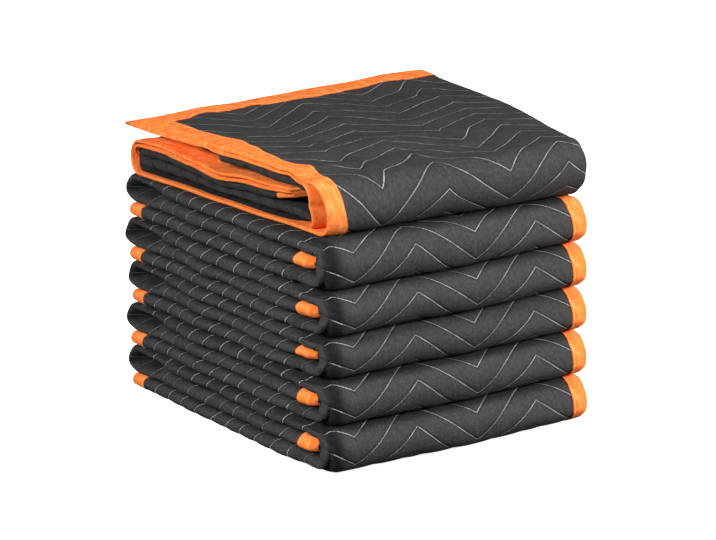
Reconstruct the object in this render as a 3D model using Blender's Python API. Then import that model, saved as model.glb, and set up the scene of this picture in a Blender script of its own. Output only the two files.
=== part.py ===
"""Stack of six quilted moving blankets with bound edges.

Each blanket is one sheet of quilted cloth with a tape folded over all four
edges. It is folded in four across its long side, then rolled in three along
the strip that this makes. Five lie with their spine to the front and their
open side to the right. The sixth lies on top, turned over, with its open side
to the left and its last fold left loose and askew.
Metres, Z up, origin under the middle of the stack.
"""
import math

import bmesh
import bpy

# --- driving dimensions ---------------------------------------------------
WIDTH = 0.508  # folded blanket along X
DEPTH = 0.620  # folded blanket along Y
CLOTH = 0.0038  # cloth where a row of stitches pulls it in
PUFF = 0.0010  # swelling of the filling on an outer face
LAYER = 0.0062  # from one layer of the folded strip to the next
PASS_GAP = 0.0006  # between two passes of the strip
REST_GAP = 0.0003  # between two blankets
TAPE = 0.0005  # thickness of the binding tape
CLEAR = 0.0005  # tape to cloth
BAND = 0.050  # width of the tape on each face
TURN_IN = 0.014  # how far the first fold stays inside the bound edges

# Zigzag quilting in the flat cloth.
ROW_SPACING = 0.046
ZIG_PERIOD = 0.240
ZIG_RISE = 0.075
ZIG_PEAK = 0.099  # first peak, from the bound edge
ROW_PHASE = 0.636  # a row's peak, from the end of the flap

# --- worked out from them -------------------------------------------------
HALF = CLOTH / 2 + PUFF
STRIP = 3 * LAYER + 2 * HALF
PASS = STRIP + PASS_GAP
THICK = 2 * PASS + STRIP
RISE = THICK + REST_GAP
CLOTH_EDGE = TAPE + CLEAR
FRONT_CENTRE = -DEPTH / 2 + THICK / 2
BACK_RADIUS = PASS / 2 + STRIP / 2

# How each blanket lies: where the flap, the back fold and the inner end come
# along Y, its shift along X and Y, and its turn about Z in degrees.
PRESSED = {"flap_end": 0.292, "back": 0.310, "tip": -0.245, "loose": False}
LOOSE = {"flap_end": 0.309, "back": 0.295, "tip": -0.232, "loose": True}
LIE = [
    {"fold": PRESSED, "shift_x": 0.000, "shift_y": 0.000, "turn": 0.0},
    {"fold": PRESSED, "shift_x": -0.001, "shift_y": 0.001, "turn": 0.2},
    {"fold": PRESSED, "shift_x": 0.001, "shift_y": -0.001, "turn": -0.1},
    {"fold": PRESSED, "shift_x": -0.001, "shift_y": 0.000, "turn": 0.1},
    {"fold": PRESSED, "shift_x": 0.001, "shift_y": 0.001, "turn": -0.2},
    {"fold": LOOSE, "shift_x": 0.005, "shift_y": 0.000, "turn": 0.0},
]

# The loose blanket: how its last fold fans out, and how far it swells.
FAN = 0.125  # extra width of the flap at its free end
FAN_CURVE = 0.9
SLIP = 0.150  # how far the first fold slips inwards at the flap's free end
SLIP_START = 0.030  # place along Y from which it slips
SWELL_OPEN = 1.22  # height against a pressed blanket, at the open side
SWELL_SPINE = 1.44  # the same at the folded side
SWELL_FRONT = 0.35  # share of the difference that reaches the front fold
NEAR_SPINE = 0.085  # where the flap's sag ends, from its folded side
LOOSE_SHAPE = [  # rise of the middle pass and of the flap over an even swelling
    {"y": -0.270, "middle": -0.003, "open_side": -0.003, "near_spine": -0.003},
    {"y": -0.170, "middle": -0.003, "open_side": 0.004, "near_spine": 0.000},
    {"y": -0.080, "middle": -0.003, "open_side": 0.005, "near_spine": 0.000},
    {"y": 0.000, "middle": 0.001, "open_side": 0.004, "near_spine": 0.000},
    {"y": 0.100, "middle": 0.003, "open_side": -0.002, "near_spine": -0.003},
    {"y": 0.200, "middle": 0.004, "open_side": -0.006, "near_spine": -0.010},
    {"y": 0.309, "middle": 0.001, "open_side": -0.003, "near_spine": -0.009},
]
FLARE = 0.006  # how far the outer edge stands off at the front fold
DRAW_BACK = 0.012  # how far the edges inside it stay back from it
SET_BACK_OPEN = 0.022  # its front fold against a pressed one, at the open side
SET_BACK_SPINE = 0.006  # the same at the folded side
OFF_CENTRE = 0.0640  # middle of the whole stack from the middle of the pressed ones

# Lines across each bend and between the quilting rows.
FRONT_CUTS = 7
BACK_CUTS = 4
BEND_CUTS = (5, 3, 2)
SPINE_QUILT = 14
FLAP_QUILT = 14
NEAR_QUILT = 3
FLAP_ROWS = 4

CHARCOAL = (0.045, 0.045, 0.047, 1.0)
ORANGE = (1.0, 0.20, 0.03, 1.0)


def clear_scene():
    for item in list(bpy.data.objects):
        bpy.data.objects.remove(item, do_unlink=True)


def clamp(value):
    return min(max(value, 0.0), 1.0)


def between(table, key, value, place):
    """Read a short table at a place, with straight lines between its rows."""
    if place <= table[0][key]:
        return table[0][value]
    for low, high in zip(table, table[1:]):
        if place <= high[key]:
            share = (place - low[key]) / (high[key] - low[key])
            return low[value] + share * (high[value] - low[value])
    return table[-1][value]


def walk(route, place):
    """Point and heading at a distance along rows of (length, turn)."""
    x = y = heading = 0.0
    for length, turn in route:
        step = min(place, length)
        bend = turn * step / length
        if turn:
            radius = length / turn
            x += radius * (math.sin(heading + bend) - math.sin(heading))
            y -= radius * (math.cos(heading + bend) - math.cos(heading))
        else:
            x += step * math.cos(heading)
            y += step * math.sin(heading)
        heading += bend
        place -= step
        if place <= 0.0:
            break
    return x, y, heading


def across_route(fan, slip):
    """The fold in four: four runs and three half turns."""
    bound_run = WIDTH - 1.5 * LAYER - HALF + fan
    first_run = bound_run - TURN_IN - slip
    outer_bend = math.pi * 1.5 * LAYER
    tight_bend = math.pi * 0.5 * LAYER
    return [
        (bound_run, 0.0),
        (outer_bend, -math.pi),
        (first_run, 0.0),
        (tight_bend, -math.pi),
        (first_run, 0.0),
        (tight_bend, math.pi),
        (bound_run, 0.0),
    ]


def along_route(fold):
    """The roll in three: flap, front bend, long pass, back bend, inner pass."""
    back_centre = fold["back"] - BACK_RADIUS
    return [
        (fold["flap_end"] - FRONT_CENTRE, 0.0),
        (math.pi * PASS, math.pi),
        (back_centre - FRONT_CENTRE, 0.0),
        (math.pi * PASS / 2, math.pi),
        (back_centre - fold["tip"], 0.0),
    ]


def total(route):
    return sum(length for length, turn in route)


def bend_lines(start, length, cuts):
    return [start + length * number / cuts for number in range(cuts + 1)]


def across_marks(fold, place):
    """Distances from the bound edge of the lines, at a place along the strip."""
    route = across_route(*askew(fold, place))
    marks = [CLOTH_EDGE, BAND + TAPE, BAND + 0.012]
    place = 0.0
    for number, (length, turn) in enumerate(route):
        if turn:
            marks += bend_lines(place, length, BEND_CUTS[number // 2])
        elif fold["loose"]:
            towards_spine = number in (0, 4)
            marks.append(place + (length - NEAR_SPINE if towards_spine else NEAR_SPINE))
        place += length
    return marks + [place - CLOTH_EDGE]


def along_marks(fold):
    """Distances from the flap's end at which the cloth has a line."""
    flap, front, long_pass, back, inner = [length for length, turn in along_route(fold)]
    soft = [row["y"] for row in LOOSE_SHAPE[1:-1]] if fold["loose"] else []
    marks = [CLOTH_EDGE, BAND + TAPE, BAND + 0.012]
    marks += [fold["flap_end"] - y for y in reversed(soft)]
    marks += bend_lines(flap, front, FRONT_CUTS)
    marks += [flap + front + y - FRONT_CENTRE for y in soft]
    start = flap + front + long_pass
    marks += bend_lines(start, back, BACK_CUTS)
    inner_end = start + back + inner
    last_line = inner_end - BAND - 0.012
    lines = [start + back + fold["back"] - BACK_RADIUS - y for y in reversed(soft)]
    marks += [line for line in lines if line < last_line - 0.02]
    return marks + [last_line, inner_end - BAND - TAPE, inner_end - CLOTH_EDGE]


def askew(fold, place):
    """Extra width of the strip and slip of its first fold, along the strip."""
    if not fold["loose"]:
        return 0.0, 0.0
    flap = fold["flap_end"] - FRONT_CENTRE
    fan = FAN * clamp(1.0 - place / flap) ** FAN_CURVE
    slip = SLIP * clamp(1.0 - place / (fold["flap_end"] - SLIP_START))
    return fan, slip


def spine_column(fold):
    """Number of the line at which the cloth's first run meets its fold."""
    return 4 if fold["loose"] else 3


def read_line(marks, number):
    """Distance at a line number, which may fall between two lines."""
    low = min(int(number), len(marks) - 2)
    return marks[low] + (number - low) * (marks[low + 1] - marks[low])


def quilting(u, v):
    """0 on a row of stitches and 1 midway between two."""
    swing = abs(((u - ZIG_PEAK) / ZIG_PERIOD + 0.5) % 1.0 - 0.5) * 2.0
    rows = (v - ROW_PHASE + ZIG_RISE * swing) / ROW_SPACING
    return abs(math.sin(math.pi * rows))


def loosen(x, y, z, near_line, draw_back):
    """Swell the topmost blanket away from the one that it lies on."""
    share = clamp(z / THICK)
    side = (x + WIDTH / 2) / (WIDTH + FAN)
    front_line = LOOSE_SHAPE[1]["y"]
    reach = SWELL_FRONT + (1.0 - SWELL_FRONT) * clamp(1.0 - y / front_line)
    swell = SWELL_OPEN + (SWELL_SPINE - SWELL_OPEN) * side * reach
    middle = clamp(3.0 * share) * clamp(3.0 * (1.0 - share)) * (1.0 - clamp(side))
    lift = middle * between(LOOSE_SHAPE, "y", "middle", y)
    along = (x + WIDTH / 2) / near_line
    sag = clamp(1.0 - along) * between(LOOSE_SHAPE, "y", "open_side", y)
    sag += min(along, clamp(1.0 + (1.0 - along) * near_line / NEAR_SPINE)) * between(
        LOOSE_SHAPE, "y", "near_spine", y
    )
    lift += clamp(3.0 * share - 2.0) * sag
    set_back = SET_BACK_OPEN + (SET_BACK_SPINE - SET_BACK_OPEN) * side + draw_back
    front = clamp((front_line - y) / (front_line - FRONT_CENTRE))
    return x, y + set_back * front, z * swell + lift


def place_point(lie, level, u, v, offset, outermost=False):
    """Where a point of the flat cloth lies in the stack.

    u runs across from the bound edge, v along from the flap's end, and offset
    is the height over the middle of the cloth, towards its outer face.
    """
    fold = lie["fold"]
    route = across_route(*askew(fold, v))
    in_strip, height, heading = walk(route, u)
    in_strip -= offset * math.sin(heading)
    height += 1.5 * LAYER + offset * math.cos(heading)
    forward, up, heading = walk(along_route(fold), v)
    spread = clamp(1.0 - in_strip / WIDTH)
    if fold["loose"] and outermost and 0.0 < heading < math.pi:
        height += FLARE * spread * math.sin(heading)
    forward += height * math.sin(heading)
    up -= height * math.cos(heading)
    x, y, z = WIDTH / 2 - in_strip, fold["flap_end"] - forward, STRIP / 2 + up
    if fold["loose"]:
        near_line = route[0][0] - NEAR_SPINE
        draw_back = 0.0 if outermost else DRAW_BACK * spread
        x, y, z = loosen(-x, y, THICK - z, near_line, draw_back)
    turn = math.radians(lie["turn"])
    return (
        x * math.cos(turn) - y * math.sin(turn) + lie["shift_x"] - OFF_CENTRE,
        x * math.sin(turn) + y * math.cos(turn) + lie["shift_y"],
        z + level,
    )


def numbered_grid(columns, rows):
    """A flat grid whose x and y are its line numbers."""
    mesh = bmesh.new()
    bmesh.ops.create_grid(mesh, x_segments=columns, y_segments=rows, size=1.0)
    for vert in mesh.verts:
        vert.co.x = round((vert.co.x + 1.0) / 2.0 * columns)
        vert.co.y = round((vert.co.y + 1.0) / 2.0 * rows)
    return mesh


def cut_outer_faces(mesh, axis, span, cuts):
    """Split the outer faces inside a span of lines, across one axis."""
    inside = []
    for face in mesh.faces:
        middle = face.calc_center_median()
        if face.normal.z > 0.5 and middle.z > 0.5:
            if span[0] < middle.x < span[1] and span[2] < middle.y < span[3]:
                inside.append(face)
    edges = set()
    for face in inside:
        for edge in face.edges:
            run = edge.verts[1].co - edge.verts[0].co
            if abs(run[axis]) > 0.01:
                edges.add(edge)
    bmesh.ops.subdivide_edges(mesh, edges=list(edges), cuts=cuts - 1, use_grid_fill=True)


def finish_object(mesh, name, colour, roughness):
    bmesh.ops.recalc_face_normals(mesh, faces=mesh.faces[:])
    if mesh.calc_volume(signed=True) < 0.0:
        bmesh.ops.reverse_faces(mesh, faces=mesh.faces[:])
    data = bpy.data.meshes.new(name)
    mesh.to_mesh(data)
    mesh.free()
    item = bpy.data.objects.new(name, data)
    bpy.context.scene.collection.objects.link(item)
    material = bpy.data.materials.new(name + " finish")
    material.use_nodes = True
    shader = material.node_tree.nodes["Principled BSDF"]
    shader.inputs["Base Color"].default_value = colour
    shader.inputs["Roughness"].default_value = roughness
    shader.inputs["Metallic"].default_value = 0.0
    material.diffuse_color = colour
    data.materials.append(material)
    return item


def make_panel(name, lie, level):
    """The quilted cloth: a flat slab, folded point by point."""
    fold = lie["fold"]
    rows = along_marks(fold)
    columns = across_marks(fold, 0.0)
    last_column, last_row = len(columns) - 1, len(rows) - 1
    spine = spine_column(fold)
    first_bend_end = 2 * spine - 2 + BEND_CUTS[0] + BEND_CUTS[1]
    mesh = numbered_grid(last_column, last_row)
    skin = bmesh.ops.extrude_face_region(mesh, geom=mesh.faces[:])
    for part in skin["geom"]:
        if isinstance(part, bmesh.types.BMVert):
            part.co.z = 1.0
    mesh.normal_update()
    spine_start = 2 + (len(LOOSE_SHAPE) - 1 if fold["loose"] else 1)
    spine_end = spine_start + FRONT_CUTS
    if fold["loose"]:
        cut_outer_faces(mesh, 0, (2, 3, 2, spine_end), FLAP_QUILT)
        cut_outer_faces(mesh, 0, (3, 4, 2, spine_end), NEAR_QUILT)
        cut_outer_faces(mesh, 1, (2, 4, 2, spine_start), FLAP_ROWS)
    else:
        cut_outer_faces(mesh, 0, (2, 3, spine_start, spine_end), SPINE_QUILT)
    quilt_start = 2 if fold["loose"] else spine_start
    for vert in mesh.verts:
        column, row, face = vert.co
        v = read_line(rows, row)
        u = read_line(across_marks(fold, v), column)
        offset = -CLOTH / 2
        if face > 0.5:
            raised = clamp(column - 1) * clamp(first_bend_end + 1 - column)
            raised *= clamp(row - 1) * clamp(last_row - 1 - row)
            if 2 < column < spine and quilt_start < row < spine_end:
                height, turned = walk(along_route(fold), v)[1:]
                raised *= 0.25 + 0.75 * quilting(u, v + (1.5 * LAYER + HALF) * turned)
            offset = CLOTH / 2 + PUFF * raised
        vert.co = place_point(lie, level, u, v, offset, column <= spine)
    return finish_object(mesh, name, CHARCOAL, 0.85)


def make_binding(name, lie, level):
    """The tape: a channel folded over the cloth's edge, with mitred corners."""
    fold = lie["fold"]
    rows = along_marks(fold)
    length = total(along_route(fold))
    spine = spine_column(fold)
    last_column, last_row = len(across_marks(fold, 0.0)) - 1, len(rows) - 1
    inner = CLOTH / 2 + CLEAR
    profile = [
        (BAND, HALF),
        (0.0, HALF),
        (0.0, -HALF),
        (BAND, -HALF),
        (BAND, -inner),
        (TAPE, -inner),
        (TAPE, inner),
        (BAND, inner),
    ]
    side_rows = range(3, last_row - 2)
    end_columns = range(3, last_column)
    stations = [(0, 0)] + [(0, row) for row in side_rows]
    stations += [(0, last_row)] + [(column, last_row) for column in end_columns]
    stations += [(last_column, last_row)] + [(last_column, row) for row in reversed(side_rows)]
    stations += [(last_column, 0)] + [(column, 0) for column in reversed(end_columns)]
    mesh = numbered_grid(len(stations), len(profile))
    for vert in mesh.verts:
        column, row = stations[round(vert.co.x) % len(stations)]
        inset, offset = profile[round(vert.co.y) % len(profile)]
        v = {0: inset, last_row: length - inset}.get(row, rows[row])
        marks = across_marks(fold, v)
        width = marks[-1] + CLOTH_EDGE
        u = {0: inset, last_column: width - inset}.get(column, marks[column])
        vert.co = place_point(lie, level, u, v, offset, column <= spine)
    bmesh.ops.remove_doubles(mesh, verts=mesh.verts[:], dist=0.00001)
    return finish_object(mesh, name, ORANGE, 0.6)


def main():
    clear_scene()
    for number, lie in enumerate(LIE, start=1):
        level = (number - 1) * RISE
        make_panel(f"blanket_{number}_panel", lie, level)
        make_binding(f"blanket_{number}_binding", lie, level)


main()
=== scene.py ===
"""Looks of a stack of six folded, quilted moving blankets with bound edges.

Every blanket is drawn flat, as a fine grid of its cloth, and each point is
then carried through the folds: in four across the long side and in three
along the strip that this makes. Its edge tape takes the same way.
Metres, Z up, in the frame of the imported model.
"""
import math

import bmesh
import bpy
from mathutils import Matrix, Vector, noise


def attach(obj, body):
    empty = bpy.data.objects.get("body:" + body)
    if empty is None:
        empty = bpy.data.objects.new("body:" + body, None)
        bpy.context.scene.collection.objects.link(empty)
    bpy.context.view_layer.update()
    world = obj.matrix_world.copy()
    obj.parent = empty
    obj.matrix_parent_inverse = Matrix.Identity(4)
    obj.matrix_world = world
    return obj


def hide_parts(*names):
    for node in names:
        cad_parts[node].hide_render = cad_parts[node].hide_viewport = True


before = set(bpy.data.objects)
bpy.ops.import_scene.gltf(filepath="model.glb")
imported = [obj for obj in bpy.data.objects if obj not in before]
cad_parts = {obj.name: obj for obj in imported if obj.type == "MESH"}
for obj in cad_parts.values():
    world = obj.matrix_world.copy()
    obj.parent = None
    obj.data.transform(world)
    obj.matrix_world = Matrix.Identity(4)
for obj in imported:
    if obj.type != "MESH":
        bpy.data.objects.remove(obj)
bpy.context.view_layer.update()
noise.seed_set(4)  # so that the cloth lies the same each time

# --- the cloth and its folds --------------------------------------------------
WIDTH = 0.508  # of a folded blanket, and its depth
DEPTH = 0.620
CLOTH = 0.0038  # thickness of the cloth along its stitches
PUFF = 0.0010  # swelling between them, on its outer face
LAYER = 0.0062  # from one layer to the next in the fold in four
PASS_GAP = 0.0006  # between two passes of the roll in three
REST_GAP = 0.0003  # between two blankets
TAPE = 0.0005  # thickness of the tape
CLEAR = 0.0005  # between the cloth's edge and the tape's fold
BAND = 0.050  # width of the tape on each face
TURN_IN = 0.014  # how far the inner folds stop short of the bound edge

ROW_SPACING = 0.046  # from one zigzag row of stitches to the next
ZIG_PERIOD = 0.240  # length of one zigzag, and its rise
ZIG_RISE = 0.090
ZIG_PEAK = 0.099  # where one row has a peak, across the cloth and along it
ROW_PHASE = 0.6405

HALF = CLOTH / 2 + PUFF
STRIP = 3 * LAYER + 2 * HALF  # thickness of the cloth once it is folded in four
PASS = STRIP + PASS_GAP
THICK = 2 * PASS + STRIP  # and of the whole roll
RISE = THICK + REST_GAP
CLOTH_EDGE = TAPE + CLEAR
FRONT_CENTRE = -DEPTH / 2 + THICK / 2
BACK_RADIUS = PASS / 2 + STRIP / 2

# How far to the back the flap, the back bend and the rolled end lie.
PRESSED = {"flap_end": 0.292, "back": 0.310, "tip": -0.260, "loose": False}
LOOSE = {"flap_end": 0.309, "back": 0.295, "tip": -0.183, "loose": True}
# How each blanket lies, from the lowest. Its bulge is how far it stands out at its
# left side and along its front, and how creased its spine is.
LIE = [
    {
        "fold": PRESSED,
        "shift_x": 0.000,
        "shift_y": 0.000,
        "turn": 0.0,
        "bulge": {"left_side": 0.020, "left": 0.012, "middle": 0.020, "right": 0.013, "crease": 0.2},
    },
    {
        "fold": PRESSED,
        "shift_x": -0.001,
        "shift_y": 0.001,
        "turn": 0.2,
        "bulge": {"left_side": 0.022, "left": 0.014, "middle": 0.020, "right": 0.010, "crease": 1.0},
    },
    {
        "fold": PRESSED,
        "shift_x": 0.001,
        "shift_y": -0.001,
        "turn": -0.1,
        "bulge": {"left_side": 0.0240, "left": 0.010, "middle": 0.010, "right": 0.004, "crease": 1.2},
    },
    {
        "fold": PRESSED,
        "shift_x": -0.001,
        "shift_y": 0.000,
        "turn": 0.1,
        "bulge": {"left_side": 0.0245, "left": 0.014, "middle": 0.018, "right": 0.006, "crease": 1.0},
    },
    {
        "fold": PRESSED,
        "shift_x": 0.001,
        "shift_y": 0.001,
        "turn": -0.2,
        "bulge": {"left_side": 0.0252, "left": 0.010, "middle": 0.014, "right": 0.003, "crease": 1.3},
    },
    {"fold": LOOSE, "shift_x": 0.005, "shift_y": 0.000, "turn": 0.0},
]

# The loose blanket on top.
OFF_CENTRE = 0.0640  # how far the pressed blankets lie to the left of the stack's middle
FAN = 0.125  # extra width of its flap, at the end
FAN_CURVE = 0.9
SLIP = 0.150  # how far the flap's inner folds slip back there
SLIP_START = 0.030  # how far from the flap's start they begin to
SWELL_OPEN = 1.22  # how much thicker it lies at its open side
SWELL_SPINE = 1.44  # and at its spine
SWELL_FRONT = 0.35  # share of the difference that is left at the front
NEAR_SPINE = 0.085  # how far before the spine the last column below holds
LOOSE_SHAPE = [  # how far its layers and its flap are lifted, from front to back
    {"y": -0.270, "middle": -0.003, "open_side": -0.008, "near_spine": -0.004},
    {"y": -0.170, "middle": 0.000, "open_side": 0.001, "near_spine": 0.000},
    {"y": -0.080, "middle": 0.000, "open_side": 0.005, "near_spine": 0.000},
    {"y": 0.030, "middle": -0.009, "open_side": 0.004, "near_spine": 0.000},
    {"y": 0.110, "middle": -0.002, "open_side": -0.002, "near_spine": -0.003},
    {"y": 0.200, "middle": 0.004, "open_side": -0.006, "near_spine": -0.004},
    {"y": 0.309, "middle": 0.001, "open_side": -0.003, "near_spine": 0.003},
]
DENTS = [  # soft troughs (down) and swellings (up) in the loose blanket's flap
    {"x": -0.160, "y": -0.053, "lift": -0.0038, "across": 0.030, "along": 0.019},
    {"x": -0.235, "y": -0.165, "lift": -0.0035, "across": 0.035, "along": 0.018},
    {"x": -0.150, "y": -0.178, "lift": -0.0030, "across": 0.045, "along": 0.018},
    {"x": -0.060, "y": -0.168, "lift": -0.0040, "across": 0.055, "along": 0.020},
    {"x": 0.030, "y": -0.215, "lift": -0.0035, "across": 0.050, "along": 0.024},
    {"x": -0.200, "y": -0.115, "lift": 0.0030, "across": 0.050, "along": 0.022},
    {"x": -0.080, "y": -0.110, "lift": 0.0035, "across": 0.060, "along": 0.024},
    {"x": 0.060, "y": -0.120, "lift": 0.0030, "across": 0.080, "along": 0.035},
    {"x": 0.020, "y": 0.020, "lift": -0.0030, "across": 0.090, "along": 0.030},
    {"x": -0.100, "y": 0.060, "lift": 0.0025, "across": 0.070, "along": 0.025},
    {"x": 0.120, "y": 0.100, "lift": 0.0030, "across": 0.080, "along": 0.030},
    {"x": -0.020, "y": 0.160, "lift": -0.0025, "across": 0.080, "along": 0.022},
    {"x": 0.250, "y": -0.090, "lift": 0.0040, "across": 0.060, "along": 0.090},
]
RELIEF = 0.0022  # fine unevenness of the flap
FLARE = 0.006  # how far its outer layer stands out in the front bend
SLACK = 0.022  # and how far its inner layers hang back there
DRAW_BACK = 0.012  # how far they are drawn back along the cloth
SET_BACK_OPEN = 0.020  # how far its front lies behind the others' at the open side
SET_BACK_SPINE = 0.006  # and at the spine
LEAN_OPEN = 0.026  # how far its upper part leans back at the open side
INNER_SET_BACK = 0.055  # how far its inner edge keeps back in the long pass
HIDDEN_FROM = 0.66  # where along the cloth that begins, and where it ends
HIDDEN_TO = 1.235
FLAP_CLOSE = 0.70  # how much closer its layers lie in the flap where its inner folds stop short
EDGE_CLOSE = 0.33  # how much closer at the flap's far-left corner
END_CLOSE = 0.48  # and at its rolled end

# --- what the looks add -----------------------------------------------------
PILLOW = 0.0003  # swelling between stitch rows on a face that lies free
EDGE_THIN = 0.30  # how much thinner the cloth is at its bound edges
EDGE_ZONE = 0.060  # fine cells along the bound edges
SPINE_ZONE = 0.032  # and just before the spine
SPINE_GROOVE = 0.0065  # depth of the groove beside the spine in a pressed front bend
SPINE_DEEP = 0.005  # how far the spine reaches back there
TIP_ROUND = 0.016  # length over which the rolled end narrows at the spine
TIP_CLOSE = 0.26  # and by how much, in height and from the left
TIP_NARROW = 0.006
CURL_RADIUS = 0.014  # the outer edge's curl inwards round the front bend
CURL_REACH = 0.016  # how far the cloth runs on before that curl
REACH_FADE = 0.200  # distance across the cloth over which that fades
CURL_FADE = 0.090  # and along it, on both sides of the bend
TUCK = 0.020  # how far the layers inside keep clear of the curl
PLUMP = 0.35  # thickening of the inner layers in the front bend
LEVEL_DRIFT = [  # uneven thickness along the front: height, left end, right end
    {"z": 0.0, "left": 0.0, "right": 0.0},
    {"z": RISE, "left": 0.0035, "right": 0.0005},
    {"z": 2 * RISE, "left": 0.0035, "right": 0.0010},
    {"z": 3 * RISE, "left": -0.0025, "right": 0.0},
    {"z": 4 * RISE, "left": -0.0055, "right": 0.0},
    {"z": 5 * RISE, "left": 0.0, "right": 0.0},
]
SIDE_BULGE = [  # share of the left side's bulge, from the front to the back
    {"y": -0.320, "share": 0.92},
    {"y": -0.180, "share": 1.00},
    {"y": -0.040, "share": 0.66},
    {"y": 0.050, "share": 0.56},
    {"y": 0.210, "share": 0.10},
    {"y": 0.310, "share": 0.0},
]
SIDE_REACH = 0.068  # how far in from the left side the bulge begins
FRONT_REACH = 0.17  # how far behind the front the bulge begins
SLOPE = 1.8  # of the pressed front bend's upper part; 2 is a half circle
SQUARENESS = 2.5  # of its lower part, and how much less at its right
SQUARE_FADE = 0.7
SAG_LEFT = 0.05  # how far below the middle it stands out most, at its left
SAG_RIGHT = 0.36  # and at its right
SPINE_FACE = 0.020  # how far in from the left the spine's own unevenness reaches
SPINE_CREASE = 0.0055  # soft upright creases in the spine, towards the front
SMOOTH_BAND = 0.013  # half height of its middle, where they fade
SPINE_SWAY = 0.0050  # how far its runs sway in and out
SPINE_LIFT = 0.0030  # and up and down
SECOND_VALLEY = 2.0 * THICK / 3.0  # height of the valley between its upper two runs
BACK_HOLLOW = 0.030  # hollow between the runs that the back bend joins
HOLLOW_HEIGHT = 0.011  # its half height
HOLLOW_START = 0.17  # how far back it begins
HOLLOW_END = 0.288  # and where it closes

# Painted shade in the cloth's colour, where little light comes: 1 is the darkest.
GROOVE_DARK = 0.95  # beside the spine, in a pressed front bend
SEAM_DARK = 0.7  # where two blankets touch
TIP_DARK = 0.7  # under the rolled end
INNER_DARK = 0.4  # inside the loose blanket
SEAM_HEIGHT = 0.012  # of the loose blanket's

ROW_SHIFT_PRESSED = 0.021  # how far the zigzag of the pressed blankets is shifted across
ROW_SLANT_FRONT = 0.053  # and how it drifts back towards the spine
ROW_WANDER = 0.020  # unevenness of their rows over the spine
ROW_SHIFT_ACROSS = 0.100  # how far it slants over the loose blanket's flap
ROW_SHIFT_ALONG = [  # how far the rows there wander, at four places across
    {"v": 0.05, 0.13: 0.104, 0.25: 0.090, 0.36: 0.100, 0.49: 0.084},
    {"v": 0.12, 0.13: 0.094, 0.25: 0.091, 0.36: 0.101, 0.49: 0.062},
    {"v": 0.20, 0.13: 0.070, 0.25: 0.068, 0.36: 0.075, 0.49: 0.029},
    {"v": 0.30, 0.13: 0.070, 0.25: 0.040, 0.36: 0.050, 0.49: 0.010},
    {"v": 0.40, 0.13: 0.066, 0.25: 0.020, 0.36: 0.044, 0.49: 0.024},
    {"v": 0.48, 0.13: 0.072, 0.25: 0.044, 0.36: 0.022, 0.49: 0.024},
    {"v": 0.57, 0.13: 0.038, 0.25: 0.010, 0.36: 0.022, 0.49: 0.008},
    {"v": 0.63, 0.13: 0.018, 0.25: 0.006, 0.36: 0.018, 0.49: 0.018},
    {"v": 0.68, 0.13: 0.011, 0.25: 0.026, 0.36: 0.028, 0.49: 0.040},
]
SHIFT_PLACES = [0.13, 0.25, 0.36, 0.49]
TAPE_ALONG_SIDE = [  # width of the loose blanket's tape down its open side
    {"at": 0.000, "width": 0.058},
    {"at": 0.085, "width": 0.062},
    {"at": 0.166, "width": 0.052},
    {"at": 0.273, "width": 0.055},
    {"at": 0.330, "width": 0.044},
    {"at": 0.375, "width": 0.033},
    {"at": 0.432, "width": 0.027},
    {"at": 0.451, "width": 0.031},
    {"at": 0.487, "width": 0.044},
    {"at": 0.568, "width": 0.036},
    {"at": 0.617, "width": 0.031},
    {"at": 0.651, "width": 0.041},
    {"at": 0.700, "width": 0.044},
    {"at": 0.780, "width": 0.012},
    {"at": 1.200, "width": 0.012},
    {"at": 1.300, "width": BAND},
]
TAPE_ALONG_END = [  # and along its flap's end
    {"at": 0.000, "width": 0.058},
    {"at": 0.079, "width": 0.059},
    {"at": 0.131, "width": 0.040},
    {"at": 0.166, "width": 0.051},
    {"at": 0.229, "width": 0.046},
    {"at": 0.271, "width": 0.057},
    {"at": 0.376, "width": 0.062},
    {"at": 0.450, "width": 0.056},
    {"at": 0.510, "width": 0.045},
    {"at": 0.579, "width": 0.056},
    {"at": 0.680, "width": BAND},
]
TAPE_INNER_SIDE = [  # and down its inner edge
    {"at": 0.620, "width": BAND},
    {"at": 0.760, "width": 0.008},
    {"at": 1.225, "width": 0.008},
    {"at": 1.300, "width": BAND},
]
FLAP_NARROW = 0.012  # how much narrower it is at a pressed spine, at the flap's end
TIP_TAPE_NARROW = 0.013  # and at the rolled end
CELLS = {  # cells across and along the cloth, for a pressed and a loose blanket
    "pressed": {
        "edge": 10,
        "bound": 54,
        "near_spine": 7,
        "outer_bend": 12,
        "inner_run": 6,
        "tight_bend": 4,
        "flap": 60,
        "front_bend": 26,
        "long_pass": 58,
        "back_bend": 12,
        "inner_pass": 48,
    },
    "loose": {
        "edge": 10,
        "bound": 88,
        "near_spine": 6,
        "outer_bend": 12,
        "inner_run": 12,
        "tight_bend": 6,
        "flap": 96,
        "front_bend": 24,
        "long_pass": 60,
        "back_bend": 14,
        "inner_pass": 50,
    },
}

# Camera, fitted to the stack's corners.
FRAME_WIDTH = 716
FOCAL_PIXELS = 2994.0
AZIMUTH = math.radians(-35.768)
ELEVATION = math.radians(14.529)
DISTANCE = 5.0
AIM = Vector((0.0122 - OFF_CENTRE, 0.0, 0.2263))


# --- small helpers ------------------------------------------------------------
def clamp(value):
    return min(max(value, 0.0), 1.0)


def smooth(value):
    value = clamp(value)
    return value * value * (3.0 - 2.0 * value)


def between(table, key, value, place):
    """Read a short table at a place, easing from each row to the next."""
    if place <= table[0][key]:
        return table[0][value]
    for low, high in zip(table, table[1:]):
        if place <= high[key]:
            share = (place - low[key]) / (high[key] - low[key])
            return low[value] + smooth(share) * (high[value] - low[value])
    return table[-1][value]


def total(route):
    return sum(length for length, turn in route)


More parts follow.
